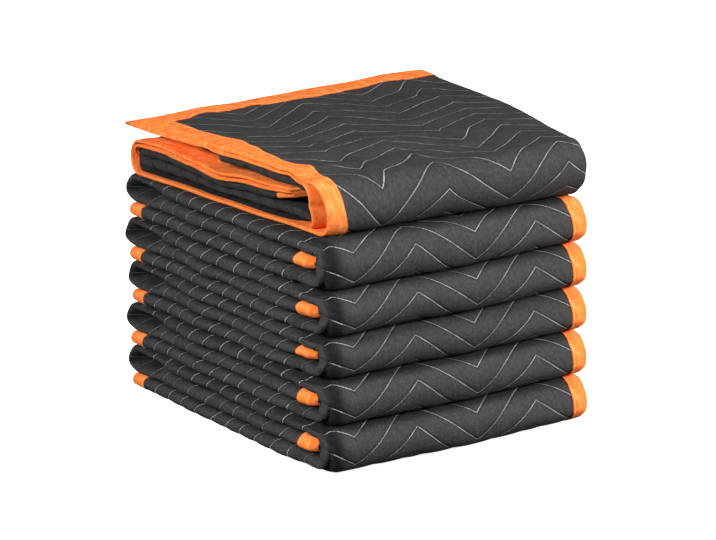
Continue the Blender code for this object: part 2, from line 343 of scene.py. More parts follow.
# --- the folds ------------------------------------------------------------------
def walk(route, place):
    """Point and heading at a distance along rows of (length, turn)."""
    x = y = heading = 0.0
    for length, turn in route:
        step = min(place, length)
        bend = turn * step / length
        if turn:
            radius = length / turn
            x += radius * (math.sin(heading + bend) - math.sin(heading))
            y -= radius * (math.cos(heading + bend) - math.cos(heading))
        else:
            x += step * math.cos(heading)
            y += step * math.sin(heading)
        heading += bend
        place -= step
        if place <= 0.0:
            break
    return x, y, heading


def askew(fold, place):
    """Extra width of the strip and slip of its first fold, along the strip."""
    if not fold["loose"]:
        return 0.0, 0.0
    flap = fold["flap_end"] - FRONT_CENTRE
    fan = FAN * clamp(1.0 - place / flap) ** FAN_CURVE
    slip = SLIP * clamp(1.0 - place / (fold["flap_end"] - SLIP_START))
    return fan, slip


def across_route(fan, slip):
    """The fold in four: four runs and three half turns."""
    bound_run = WIDTH - 1.5 * LAYER - HALF + fan
    first_run = bound_run - TURN_IN - slip
    outer_bend = math.pi * 1.5 * LAYER
    tight_bend = math.pi * 0.5 * LAYER
    return [
        (bound_run, 0.0),
        (outer_bend, -math.pi),
        (first_run, 0.0),
        (tight_bend, -math.pi),
        (first_run, 0.0),
        (tight_bend, math.pi),
        (bound_run, 0.0),
    ]


def along_route(fold):
    """The roll in three: flap, front bend, long pass, back bend, inner pass."""
    back_centre = fold["back"] - BACK_RADIUS
    return [
        (fold["flap_end"] - FRONT_CENTRE, 0.0),
        (math.pi * PASS, math.pi),
        (back_centre - FRONT_CENTRE, 0.0),
        (math.pi * PASS / 2, math.pi),
        (back_centre - fold["tip"], 0.0),
    ]


def loosen(x, y, z, near_line, draw_back):
    """Swell the topmost blanket away from the one that it lies on."""
    share = clamp(z / THICK)
    from_left = x + WIDTH / 2
    side = from_left / (WIDTH + FAN)
    front_line = LOOSE_SHAPE[1]["y"]
    reach = SWELL_FRONT + (1.0 - SWELL_FRONT) * clamp(1.0 - y / front_line)
    swell = SWELL_OPEN + (SWELL_SPINE - SWELL_OPEN) * side * reach
    middle = clamp(3.4 * share - 0.4) * clamp(3.0 * (1.0 - share)) * (1.0 - clamp(side))
    lift = middle * between(LOOSE_SHAPE, "y", "middle", y)
    along = from_left / near_line
    near_spine = min(clamp(along) ** 2, clamp(1.0 + (1.0 - along) * near_line / NEAR_SPINE))
    sag = clamp(1.0 - along) * between(LOOSE_SHAPE, "y", "open_side", y)
    sag += near_spine * between(LOOSE_SHAPE, "y", "near_spine", y)
    lift += clamp(3.0 * share - 2.0) * sag
    for dent in DENTS:
        across = (x - dent["x"] - OFF_CENTRE) / dent["across"]
        near = across ** 2 + ((y - dent["y"]) / dent["along"]) ** 2
        if near < 6.0:
            lift += share * dent["lift"] * math.exp(-near)
    from_corner = math.hypot(from_left, y - LOOSE["flap_end"])
    relief = noise.noise(Vector((x * 13.0, y * 19.0, 3.0))) * smooth((from_corner - 0.05) / 0.08)
    lift += RELIEF * share * relief * (1.0 - 0.85 * smooth((x - 0.13) / 0.12))
    set_back = SET_BACK_OPEN + (SET_BACK_SPINE - SET_BACK_OPEN) * side + draw_back
    set_back += LEAN_OPEN * share * clamp(1.0 - 2.0 * side)
    front = clamp((front_line - y) / (front_line - FRONT_CENTRE))
    return x, y + set_back * front, z * swell + lift


def front_profile(side, z):
    """How far the front bend stands out at a height, where a half circle has 1."""
    radius = THICK / 2
    to_right = smooth(2.0 * side - 1.0)
    fullest = -SAG_LEFT - (SAG_RIGHT - SAG_LEFT) * to_right
    rise = min(max((z - radius) / radius, -0.999), 0.999)
    if rise > fullest:
        form = (1.0 - ((rise - fullest) / (1.0 - fullest)) ** SLOPE) ** (1.0 / SLOPE)
    else:
        square = SQUARENESS - SQUARE_FADE * to_right
        form = (1.0 - ((fullest - rise) / (1.0 + fullest)) ** square) ** (1.0 / square)
    return form / math.sqrt(1.0 - rise * rise)


def crumple_spine(bulge, x, y, z):
    """Crease and sway the spine's runs, and hollow them where the back bend joins two."""
    inside = smooth(1.0 - (x + WIDTH / 2) / SPINE_FACE - 0.3)
    forward = smooth((-0.10 - y) / 0.10)
    crease = noise.noise(Vector((z * 26.0, y * 70.0, bulge["left"] * 900.0)))
    crease *= bulge["crease"] * (1.0 - math.exp(-(((z - THICK / 2.0) / SMOOTH_BAND) ** 2)))
    x -= SPINE_CREASE * crease * inside * (0.15 + 0.85 * forward)
    sway = noise.noise(Vector((y * 11.0, z * 45.0, bulge["left_side"] * 700.0)))
    x -= SPINE_SWAY * sway * inside * smooth((z - 0.008) / 0.02)
    lift = noise.noise(Vector((y * 12.0, z * 30.0, bulge["left"] * 500.0)))
    z += SPINE_LIFT * inside * smooth(z / 0.02) * lift
    hollow = math.exp(-(((z - SECOND_VALLEY) / HOLLOW_HEIGHT) ** 2))
    hollow *= smooth((y - HOLLOW_START) / 0.08) * (1.0 - smooth((y - HOLLOW_END) / 0.012))
    x += BACK_HOLLOW * hollow * smooth(1.0 - (x + WIDTH / 2) / 0.06)
    return x, y, z


def press(bulge, x, y, z):
    """Bulge a pressed blanket's front and left side, as its weight does."""
    side = clamp(x / WIDTH + 0.5)
    if y < FRONT_CENTRE:
        y = FRONT_CENTRE - (FRONT_CENTRE - y) * front_profile(side, z)
    if side < 0.5:
        bow = bulge["left"] + (bulge["middle"] - bulge["left"]) * smooth(2.0 * side)
    else:
        bow = bulge["middle"] + (bulge["right"] - bulge["middle"]) * smooth(2.0 * side - 1.0)
    y -= bow * smooth((FRONT_CENTRE + FRONT_REACH - y) / FRONT_REACH)
    near_left = clamp((SIDE_REACH - x - WIDTH / 2) / SIDE_REACH)
    share = between(SIDE_BULGE, "y", "share", y)
    x -= bulge["left_side"] * share * near_left * near_left
    return crumple_spine(bulge, x, y, z)


def settle(point):
    """The unevenness of soft cloth, the same for all that lies in one place."""
    lift = min(point.z / 0.03, 1.0)
    drift = noise.noise_vector(point * 9.0) * 0.0022
    front = clamp((DEPTH / 2 - point.y) / DEPTH)
    side = clamp((point.x + OFF_CENTRE) / WIDTH + 0.5)
    left = between(LEVEL_DRIFT, "z", "left", point.z)
    right = between(LEVEL_DRIFT, "z", "right", point.z)
    drift.z = drift.z * lift * 0.8 + front * (left + (right - left) * side)
    return point + drift


def in_front_bend(strip_route, v):
    """1 in the front bend, fading out along the cloth on both sides of it."""
    start = strip_route[0][0]
    end = start + strip_route[1][0]
    return smooth(1.0 - max(start - v, v - end, 0.0) / CURL_FADE)


def curl_edge(in_strip, height, offset, bend):
    """Curl the outer layer's bound edge inwards."""
    zone = (CURL_RADIUS + CURL_REACH * (1.0 - CURL_RADIUS / REACH_FADE)) * bend
    reach = CURL_REACH * bend * clamp(1.0 - in_strip / REACH_FADE)
    x = WIDTH / 2 - max(in_strip, zone) + reach
    if in_strip < zone:
        angle = (zone - in_strip) / CURL_RADIUS
        x += (CURL_RADIUS + offset) * math.sin(angle)
        height += (CURL_RADIUS + offset) * (math.cos(angle) - 1.0)
    return x, height


def pattern_height(route, u, height):
    """The layer whose turns the stitch rows follow: over the spine, the outer one."""
    spine_end = route[0][0] + route[1][0]
    if u <= spine_end:
        return 1.5 * LAYER
    return height + (3.0 * LAYER) * smooth(1.0 - (u - spine_end) / 0.06)


def draw_together(fold, route, strip_route, u, v, in_strip, height):
    """Set back the loose blanket's inner edge, and lay its layers closer where it is slack."""
    if u > total(route) - WIDTH / 2:
        hidden = smooth((v - HIDDEN_FROM) / 0.08) * smooth((HIDDEN_TO - v) / 0.05)
        in_strip += INNER_SET_BACK * hidden * clamp(1.0 - in_strip / 0.15)
    height *= 1.0 - END_CLOSE * smooth((v - total(strip_route)) / 0.09 + 1.0)
    if v < strip_route[0][0]:
        empty = TURN_IN + askew(fold, v)[1] - in_strip
        near_edge = EDGE_CLOSE * smooth((0.46 - v) / 0.18) * smooth((0.12 - in_strip) / 0.06)
        height *= 1.0 - max(FLAP_CLOSE * smooth(empty / 0.035), near_edge)
    return in_strip, height


def tuck_in(route, strip_route, u, v, in_strip, height, offset, bending, outermost):
    """Groove a pressed blanket beside its spine, curl its edge in and close its rolled end."""
    x = WIDTH / 2 - in_strip
    bend = in_front_bend(strip_route, v)
    to_spine = (route[0][0] + 0.005 - u) / 0.0040
    height -= SPINE_GROOVE * bend * math.exp(-to_spine * to_spine)
    if outermost:
        x, height = curl_edge(in_strip, height, offset, bend)
    else:
        x -= TUCK * bend * clamp(1.0 - in_strip / 0.15)
    height -= PLUMP * smooth(bending) * (1.5 * LAYER + HALF - height)
    close = clamp(1.0 - (total(strip_route) - v) / TIP_ROUND) ** 2
    close *= smooth(1.0 - (x + WIDTH / 2) / 0.05)
    return x + TIP_NARROW * close, height * (1.0 - TIP_CLOSE * close)


def place_point(lie, level, route, strip_route, u, v, offset, outermost):
    """Where a point of the flat cloth lies, and how far it has turned.

    u runs across from the bound edge, v along from the flap's end, and offset
    is the height over the middle of the cloth, towards its outer face.
    """
    fold = lie["fold"]
    in_strip, height, turned_across = walk(route, u)
    forward, up, turned_along = walk(strip_route, v)
    spread = clamp(1.0 - in_strip / WIDTH)
    stretch = (pattern_height(route, u, height + 1.5 * LAYER) + offset) * turned_along
    if fold["loose"]:
        in_strip, height = draw_together(fold, route, strip_route, u, v, in_strip, height)
    in_strip -= offset * math.sin(turned_across)
    height += 1.5 * LAYER + offset * math.cos(turned_across)
    bending = math.sin(turned_along) if turned_along < math.pi else 0.0
    if fold["loose"]:
        x = WIDTH / 2 - in_strip
        height += (FLARE if outermost else -SLACK) * spread * bending
    else:
        x, height = tuck_in(route, strip_route, u, v, in_strip, height, offset, bending, outermost)
    forward += height * math.sin(turned_along)
    up -= height * math.cos(turned_along)
    y, z = fold["flap_end"] - forward, STRIP / 2 + up
    if fold["loose"]:
        near_line = route[0][0] - NEAR_SPINE
        draw_back = 0.0 if outermost else DRAW_BACK * spread
        x, y, z = loosen(-x, y, THICK - z, near_line, draw_back)
    else:
        depth = clamp((1.5 * LAYER + HALF - height) / STRIP)
        near_spine = clamp(2.0 - 8.0 * abs(u - route[0][0]) / WIDTH)
        y += SPINE_DEEP * smooth(bending) * depth * near_spine
        x, y, z = press(lie["bulge"], x, y, z)
    turn = math.radians(lie["turn"])
    point = Vector(
        (
            x * math.cos(turn) - y * math.sin(turn) + lie["shift_x"] - OFF_CENTRE,
            x * math.sin(turn) + y * math.cos(turn) + lie["shift_y"],
            z + level,
        )
    )
    return settle(point), stretch


def row_shift(fold, u, v):
    """How far the stitching of a cloth is shifted from an even pattern."""
    if not fold["loose"]:
        wander = smooth((u - 0.500) / 0.016) * noise.noise(Vector((v * 8.5, 2.0, 0.0)))
        return ROW_SLANT_FRONT * max(u - 0.3, 0.0) - ROW_SHIFT_PRESSED, ROW_WANDER * wander
    across = -ROW_SHIFT_ACROSS * clamp(1.0 - v / 0.38) - 0.008
    place = min(max(u, SHIFT_PLACES[0]), SHIFT_PLACES[-1])
    for low, high in zip(SHIFT_PLACES, SHIFT_PLACES[1:]):
        if place <= high:
            share = (place - low) / (high - low)
            near = between(ROW_SHIFT_ALONG, "v", low, v)
            return across, near + share * (between(ROW_SHIFT_ALONG, "v", high, v) - near)


def quilting(u, v):
    """0 on a row of stitches and 1 midway between two."""
    swing = abs(((u - ZIG_PEAK) / ZIG_PERIOD + 0.5) % 1.0 - 0.5) * 2.0
    rows = (v - ROW_PHASE + ZIG_RISE * swing) / ROW_SPACING
    return abs(math.sin(math.pi * rows))


# --- lines of the fine grid -------------------------------------------------------
def cells_of(fold):
    return CELLS["loose" if fold["loose"] else "pressed"]


def spine_column(fold):
    """Number of the line at which the outermost layer ends."""
    return sum(cells_of(fold)[name] for name in ("edge", "bound", "near_spine"))


def lines_through(stops, counts):
    """Lines through every stop, with a number of even cells between each two."""
    lines = [stops[0]]
    for (low, high), count in zip(zip(stops, stops[1:]), counts):
        lines += [low + (high - low) * (number + 1) / count for number in range(count)]
    return lines


def stops_of(route):
    """Distances to the ends of a route's stretches, with its two edges set in."""
    stops = [CLOTH_EDGE, EDGE_ZONE]
    end = 0.0
    for length, turn in route:
        end += length
        stops.append(end)
    return stops[:-1] + [end - EDGE_ZONE, end - CLOTH_EDGE]


def across_lines(fold, place):
    """Distances from the bound edge of the lines, at a place along the strip."""
    names = ["edge", "bound", "near_spine", "outer_bend", "inner_run", "tight_bend"]
    names += ["inner_run", "tight_bend", "inner_run", "edge"]
    stops = stops_of(across_route(*askew(fold, place)))
    stops.insert(2, stops[2] - SPINE_ZONE)
    return lines_through(stops, [cells_of(fold)[name] for name in names])


def along_lines(fold):
    """Distances from the flap's end at which the cloth has a line."""
    names = ["edge", "flap", "front_bend", "long_pass", "back_bend", "inner_pass", "edge"]
    return lines_through(stops_of(along_route(fold)), [cells_of(fold)[name] for name in names])


# --- cloth ------------------------------------------------------------------------
def numbered_grid(columns, rows):
    """A flat grid whose x and y are its line numbers."""
    mesh = bmesh.new()
    bmesh.ops.create_grid(mesh, x_segments=columns, y_segments=rows, size=1.0)
    for vert in mesh.verts:
        vert.co.x = round((vert.co.x + 1.0) / 2.0 * columns)
        vert.co.y = round((vert.co.y + 1.0) / 2.0 * rows)
    return mesh


def lay_map(mesh, name, flat):
    """Give a mesh the map that holds its points' places on the flat cloth."""
    flat_map = mesh.loops.layers.uv.new(name)
    for face in mesh.faces:
        for loop in face.loops:
            loop[flat_map].uv = flat[loop.vert]


def finish_piece(mesh, name, material, node):
    """Turn a mesh's faces outwards and make it a piece in place of a node."""
    bmesh.ops.recalc_face_normals(mesh, faces=mesh.faces[:])
    if mesh.calc_volume(signed=True) < 0.0:
        bmesh.ops.reverse_faces(mesh, faces=mesh.faces[:])
    for face in mesh.faces:
        face.smooth = True
    data = bpy.data.meshes.new(name)
    mesh.to_mesh(data)
    mesh.free()
    data.materials.append(material)
    piece = bpy.data.objects.new(name, data)
    bpy.context.scene.collection.objects.link(piece)
    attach(piece, "root")
    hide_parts(node)
    return piece


def painted_shade_at(fold, route, strip_route, u, v, level, point, outermost):
    """Painted shade in a point's colour: how little light comes there, 1 in a fold's depth, 0 on open
    cloth.
    """
    spine, spine_end = route[0][0], route[0][0] + route[1][0]
    height = point.z - level
    if fold["loose"] and outermost:
        return SEAM_DARK * smooth((SEAM_HEIGHT - height) / SEAM_HEIGHT)
    dark = 0.0
    if spine < u < spine_end:
        turned_across, turned_along = walk(route, u)[2], walk(strip_route, v)[2]
        bending = max(math.sin(turned_along), 0.0) * (turned_along < math.pi)
        dark = (1.0 - smooth(abs(math.sin(turned_across)) / 0.9)) * (1.0 - 0.8 * bending)
    elif u > spine:
        dark = INNER_DARK if fold["loose"] else 1.0
    if fold["loose"]:
        return dark
    # Painted shade beside the spine, where two blankets touch, in the back hollow and under the rolled
    # end.
    bend = in_front_bend(strip_route, v)
    groove = GROOVE_DARK * math.exp(-(((u - spine) / 0.008) ** 2)) * bend
    seam = SEAM_DARK * smooth((abs(height / THICK - 0.5) - 0.36) / 0.14)
    dark = max(dark, groove, seam)
    if u > spine:
        hollow = math.exp(-(((height - SECOND_VALLEY) / 0.012) ** 2)) * smooth((point.y - 0.20) / 0.04)
        under_tip = smooth((-0.205 - point.y) / 0.03) * smooth((0.36 * THICK - height) / 0.008)
        dark = max(dark, hollow, TIP_DARK * under_tip * (1.0 - bend))
    return dark


def thread_at(fold, route, strip_route, u, v, outer_face, y):
    """How much of the thread shows: faint in a pressed spine's bends, none inside the loose one."""
    spine = route[0][0]
    if fold["loose"]:
        return 1.0 if outer_face and u <= spine + route[1][0] + 0.2 else 0.0
    if u <= spine + 0.004:
        return 1.0
    start = strip_route[0][0]
    end = start + strip_route[1][0]
    in_bend = smooth((v - start + 0.06) / 0.04) * smooth((end + 0.02 - v) / 0.03)
    return (1.0 - 0.8 * in_bend) * (1.0 - 0.75 * smooth((y - 0.235) / 0.03))


def swelling(fold, route, strip_route, u, v, edge, outermost, outer_face):
    """Height of the cloth's face over its middle: it swells between the stitch rows."""
    height, turned_across = walk(route, u)[1:]
    turned_along = walk(strip_route, v)[2]
    on_flap = fold["loose"] and v < strip_route[0][0]
    free = max(math.sin(-turned_across), 0.0)
    if outermost:
        free = 1.0 if on_flap else max(free, math.sin(turned_along))
    height = pattern_height(route, u, height + 1.5 * LAYER)
    true_v = v + (height + (HALF if outer_face else -HALF)) * turned_along
    shift_u, shift_v = row_shift(fold, u, true_v)
    pillow = smooth((edge - BAND + 0.002) / 0.014) * quilting(u + shift_u, true_v + shift_v)
    if on_flap:
        pillow *= 1.0 - 0.8 * smooth((u - 0.40) / 0.10)
    face = CLOTH / 2 + (PUFF + PILLOW * free) * pillow if outer_face else -CLOTH / 2
    return face * (1.0 - EDGE_THIN * smooth(1.0 - edge / BAND))


def make_cloth(name, lie, level, material):
    """The quilted cloth: a flat slab, folded point by point."""
    fold = lie["fold"]
    rows = along_lines(fold)
    strip_route = along_route(fold)
    length = total(strip_route)
    routes = [across_route(*askew(fold, v)) for v in rows]
    columns = [across_lines(fold, v) for v in rows]
    spine = spine_column(fold)
    mesh = numbered_grid(len(columns[0]) - 1, len(rows) - 1)
    skin = bmesh.ops.extrude_face_region(mesh, geom=mesh.faces[:])
    for part in skin["geom"]:
        if isinstance(part, bmesh.types.BMVert):
            part.co.z = 1.0
    flat = {}
    stitched = mesh.verts.layers.float.new("stitched")
    # The hollow layer holds painted shade: it darkens the cloth's colour in folds, grooves and seams.
    hollow = mesh.verts.layers.float.new("hollow")
    for vert in mesh.verts:
        column, row, outer_face = round(vert.co.x), round(vert.co.y), vert.co.z > 0.5
        u, v, route = columns[row][column], rows[row], routes[row]
        edge = min(u, v, total(route) - u, length - v)
        outermost = column <= spine
        offset = swelling(fold, route, strip_route, u, v, edge, outermost, outer_face)
        point, stretch = place_point(lie, level, route, strip_route, u, v, offset, outermost)
        vert.co = point
        vert[stitched] = thread_at(fold, route, strip_route, u, v, outer_face, point.y)
        vert[hollow] = painted_shade_at(fold, route, strip_route, u, v, level, point, outermost)
        shift_u, shift_v = row_shift(fold, u, v + stretch)
        flat[vert] = (u + shift_u, v + stretch + shift_v)
    lay_map(mesh, "cloth", flat)
    return finish_piece(mesh, name, material, name.replace("cloth", "panel"))


# --- binding tape -------------------------------------------------------------------
TAPE_TOP = [0.034, 0.028, 0.022, 0.017, 0.012, 0.0075, 0.0035]
TAPE_UNDER = [0.0075, 0.014, 0.021, 0.028, 0.036, BAND - 0.004, BAND]
TAPE_LINING = [TAPE, 0.008, 0.017, 0.026, 0.036, BAND]
TAPE_PROFILE = [  # the tape's section: distance from the cloth's edge, side, lift
    {"inset": BAND, "side": 1.0, "lift": 0.0},
    {"inset": BAND - 0.0015, "side": 1.0, "lift": 0.0003},
    {"inset": BAND - 0.0040, "side": 1.0, "lift": -0.0002},
    {"inset": BAND - 0.0080, "side": 1.0, "lift": 0.0004},
]
TAPE_PROFILE += [{"inset": inset, "side": 1.0, "lift": 0.0004} for inset in TAPE_TOP]
TAPE_PROFILE += [
    {"inset": 0.0015, "side": 0.9, "lift": 0.0},
    {"inset": 0.0, "side": 0.4, "lift": 0.0},
    {"inset": 0.0, "side": -0.4, "lift": 0.0},
    {"inset": 0.0015, "side": -0.9, "lift": 0.0},
]
TAPE_PROFILE += [{"inset": inset, "side": -1.0, "lift": 0.0} for inset in TAPE_UNDER]
TAPE_PROFILE += [{"inset": inset, "side": -0.8, "lift": 0.0} for inset in reversed(TAPE_LINING)]
TAPE_PROFILE += [{"inset": inset, "side": 0.8, "lift": 0.0} for inset in TAPE_LINING]


def tape_width(fold, column, row, u, v):
    """How wide the tape lies at a place along the cloth's edge."""
    if fold["loose"]:
        if column == 0:
            return between(TAPE_ALONG_SIDE, "at", "width", v)
        if row == 0:
            return between(TAPE_ALONG_END, "at", "width", u)
        if 0.0 < u < 1.0:
            return BAND
        return between(TAPE_INNER_SIDE, "at", "width", v)
    near_spine = smooth(1.0 - abs(u - WIDTH) / 0.12)
    if row == 0:
        return BAND - FLAP_NARROW * near_spine
    return BAND - TIP_TAPE_NARROW * near_spine if column else BAND


def make_tape(name, lie, level, material):
    """The tape: a channel folded over the cloth's edge, with mitred corners."""
    fold = lie["fold"]
    rows = along_lines(fold)
    strip_route = along_route(fold)
    length = total(strip_route)
    first = across_lines(fold, 0.0)
    last_column, last_row = len(first) - 1, len(rows) - 1
    edge = cells_of(fold)["edge"]
    spine = spine_column(fold)
    side_rows = range(edge, last_row - edge + 1)
    end_columns = range(edge, last_column - edge + 1)
    stations = [(0, 0)] + [(0, row) for row in side_rows]
    stations += [(0, last_row)] + [(column, last_row) for column in end_columns]
    stations += [(last_column, last_row)] + [(last_column, row) for row in reversed(side_rows)]
    stations += [(last_column, 0)] + [(column, 0) for column in reversed(end_columns)]
    mesh = numbered_grid(len(stations), len(TAPE_PROFILE))
    flat = {}
    for vert in mesh.verts:
        column, row = stations[round(vert.co.x) % len(stations)]
        part = TAPE_PROFILE[round(vert.co.y) % len(TAPE_PROFILE)]
        outermost = column <= spine
        shown = tape_width(fold, column, row, first[column], rows[row])
        inset = part["inset"] * shown / BAND
        v = {0: inset, last_row: length - inset}.get(row, rows[row])
        route = across_route(*askew(fold, v))
        width = total(route)
        lines = across_lines(fold, v)
        u = {0: inset, last_column: width - inset}.get(column, lines[column])
        offset = HALF * part["side"] + part["lift"] * outermost
        offset *= 1.0 - EDGE_THIN * smooth(1.0 - inset / BAND)
        point, stretch = place_point(lie, level, route, strip_route, u, v, offset, outermost)
        vert.co = point
        side = -1.0 if part["side"] < 0.0 else 1.0
        along = v if column in (0, last_column) else u
        flat[vert] = (along + stretch, side * part["inset"])
    bmesh.ops.remove_doubles(mesh, verts=mesh.verts[:], dist=0.00001)
    lay_map(mesh, "tape", flat)
    return finish_piece(mesh, name, material, name.replace("tape", "binding"))


# --- materials ----------------------------------------------------------------------
# The cloth's colour in painted shade, and the dark end of its random tone.
NEAR_BLACK = (0.004, 0.003, 0.003, 1.0)
CHARCOAL = (0.084, 0.082, 0.084, 1.0)
PALE_THREAD = (0.39, 0.39, 0.39, 1.0)
# The tape's colour in painted shade, and the dark end of its random tone.
DEEP_ORANGE = (0.46, 0.010, 0.0, 1.0)
ORANGE = (1.0, 0.215, 0.030, 1.0)
# The tape's colour in painted highlights.
HIGHLIGHT_ORANGE = (1.0, 0.38, 0.14, 1.0)
ORANGE_THREAD = (1.0, 0.42, 0.13, 1.0)
WHITE = (1.0, 1.0, 1.0, 1.0)
THREAD_EDGE = (0.0005, 0.0010)  # where the thread fades, from its middle
STITCH_LENGTH = 0.0055
TAPE_STITCH = 0.0050
SEAM_INSET = 0.004  # of the seam from the tape's inner edge
CLOTH_WEAVE = 0.0016  # size of the weave, and of the tape's ribs
TAPE_RIB = 0.0013


class Amount:
    """A number that varies over a surface; arithmetic on it adds Math nodes."""

    def __init__(self, finish, socket):
        self.finish = finish
        self.socket = socket

    def __add__(self, other):
        return self.finish.math("ADD", self, other)

    def __radd__(self, other):
        return self.finish.math("ADD", other, self)

    def __sub__(self, other):
        return self.finish.math("SUBTRACT", self, other)

    def __rsub__(self, other):
        return self.finish.math("SUBTRACT", other, self)

    def __mul__(self, other):
        return self.finish.math("MULTIPLY", self, other)

    def __rmul__(self, other):
        return self.finish.math("MULTIPLY", other, self)

    def __truediv__(self, other):
        return self.finish.math("DIVIDE", self, other)

    def __rtruediv__(self, other):
        return self.finish.math("DIVIDE", other, self)

    def __abs__(self):
        return self.finish.math("ABSOLUTE", self)


class Finish:
    """A material that is being built."""

    def __init__(self, name):
        self.material = bpy.data.materials.new(name)
        self.material.use_nodes = True
        self.tree = self.material.node_tree
        self.tree.nodes.clear()

    def node(self, kind, settings, inputs):
        """Add a node, with its settings first and then its sockets' values or links."""
        made = self.tree.nodes.new(kind)
        for key, value in settings.items():
            setattr(made, key, value)
        for key, value in inputs.items():
            if isinstance(value, Amount):
                self.tree.links.new(value.socket, made.inputs[key])
            elif isinstance(value, bpy.types.NodeSocket):
                self.tree.links.new(value, made.inputs[key])
            else:
                made.inputs[key].default_value = value
        return made

    def math(self, operation, *values):
        made = self.node("ShaderNodeMath", {"operation": operation}, dict(enumerate(values)))
        return Amount(self, made.outputs[0])

    def ramp(self, value, low, high, at_low=0.0, at_high=1.0):
        """Ease from one value to another as an amount passes from low to high."""
        made = self.node(
            "ShaderNodeMapRange",
            {"interpolation_type": "SMOOTHSTEP"},
            {"Value": value, 1: low, 2: high, 3: at_low, 4: at_high},
        )
        return Amount(self, made.outputs[0])

    def map_of(self, name):
        """The two distances that a piece's own map holds, and the map itself."""
        place = self.node("ShaderNodeUVMap", {"uv_map": name}, {}).outputs[0]
        parts = self.node("ShaderNodeSeparateXYZ", {}, {0: place})
        return place, Amount(self, parts.outputs[0]), Amount(self, parts.outputs[1])

    def attribute(self, name):
        made = self.node("ShaderNodeAttribute", {"attribute_name": name}, {})
        return Amount(self, made.outputs["Fac"])

    def stretched(self, x, y):
        """A place on the map, for a noise that is stretched one way."""
        return self.node("ShaderNodeCombineXYZ", {}, {0: x, 1: y}).outputs[0]

    def noise(self, place, scale, detail=3.0, roughness=0.6):
        made = self.node(
            "ShaderNodeTexNoise",
            {},
            {"Vector": place, "Scale": scale, "Detail": detail, "Roughness": roughness},
        )
        return Amount(self, made.outputs[0])

    def mix(self, share, first, second):
        """Go from one colour to another."""
        made = self.node("ShaderNodeMix", {"data_type": "RGBA"}, {0: share, 6: first, 7: second})
        return made.outputs[2]

    def bump(self, height):
        """Light the surface as if it had a height in metres."""
        made = self.node(
            "ShaderNodeBump", {}, {"Height": height, "Distance": 1.0, "Strength": 1.0}
        )
        return made.outputs[0]

    def close(self, inputs):
        """End in a Principled shader, and give the material."""
        shader = self.node("ShaderNodeBsdfPrincipled", {}, inputs)
        self.node("ShaderNodeOutputMaterial", {}, {"Surface": shader.outputs[0]})
        return self.material


def cloth_finish():
    """Charcoal cover cloth with light zigzag stitching."""
    finish = Finish("charcoal quilted cloth")
    place, u, v = finish.map_of("cloth")
    along_row = math.cos(math.atan(ZIG_RISE / (ZIG_PERIOD / 2)))
    swing = 2.0 * abs(finish.math("FRACT", (u - ZIG_PEAK) / ZIG_PERIOD + 0.5) - 0.5)
    rows = (v - ROW_PHASE + ZIG_RISE * swing) / ROW_SPACING
    near_row = abs(finish.math("FRACT", rows + 0.5) - 0.5) * (ROW_SPACING * along_row)
    stitch = abs(finish.math("FRACT", u / (STITCH_LENGTH * along_row)) - 0.5) * 2.0
    thread = finish.ramp(near_row, *THREAD_EDGE, 1.0, 0.0)
    thread = thread * finish.ramp(stitch, 0.80, 0.95, 1.0, 0.25) * finish.attribute("stitched")
    # Beside each stitch row the bump dips, and the colour also darkens there as painted shade.
    crease = finish.ramp(near_row, 0.0, 0.006, 1.0, 0.0)
    # Painted shade, from the hollow attribute: it darkens the colour in folds, grooves and seams.
    painted_shade = finish.attribute("hollow")

    mottle = finish.noise(place, 14.0, 4.0)
    fibres = finish.noise(finish.stretched(u * 900.0, v * 260.0), 1.0, 2.0)
    grit = finish.noise(finish.stretched(u * 230.0, v * 190.0), 1.0, 3.0, 0.85)
    pleats = finish.noise(finish.stretched(u * 150.0, v * 30.0), 1.0, 2.0)
    flecks = finish.noise(finish.stretched(u * 75.0, v * 48.0), 1.0, 2.0, 0.7)
    weave = finish.math("SINE", u * (math.tau / CLOTH_WEAVE)) * finish.math(
        "SINE", v * (math.tau / CLOTH_WEAVE)
    )

    lightness = 0.22 * mottle + 0.35 * fibres + 1.20 * (grit - 0.5) + 0.30 * (pleats - 0.5) + 0.20
    lightness = lightness + 0.22 * (flecks - 0.5)
    # Painted shade darkens the colour in folds and seams and beside each stitch row.
    lightness = lightness * (1.0 - 0.85 * painted_shade) * (1.0 - 0.35 * crease)
    grey = finish.mix(lightness, NEAR_BLACK, CHARCOAL)
    worn = finish.ramp(finish.noise(place, 45.0, 2.0), 0.35, 0.62, 0.45, 1.0)
    from_row = finish.ramp(near_row, 0.0, 0.016, 1.0, 0.4)
    height = 0.00010 * weave + 0.00030 * fibres + 0.0011 * grit + 0.0013 * pleats * from_row
    height = height + 0.0007 * thread - 0.0010 * crease
    return finish.close(
        {
            "Base Color": finish.mix(thread * worn, grey, PALE_THREAD),
            "Roughness": 0.42 + 0.16 * fibres + 0.34 * grit + 0.40 * painted_shade,
            "Normal": finish.bump(height),
            "Specular IOR Level": 0.13,
        }
    )


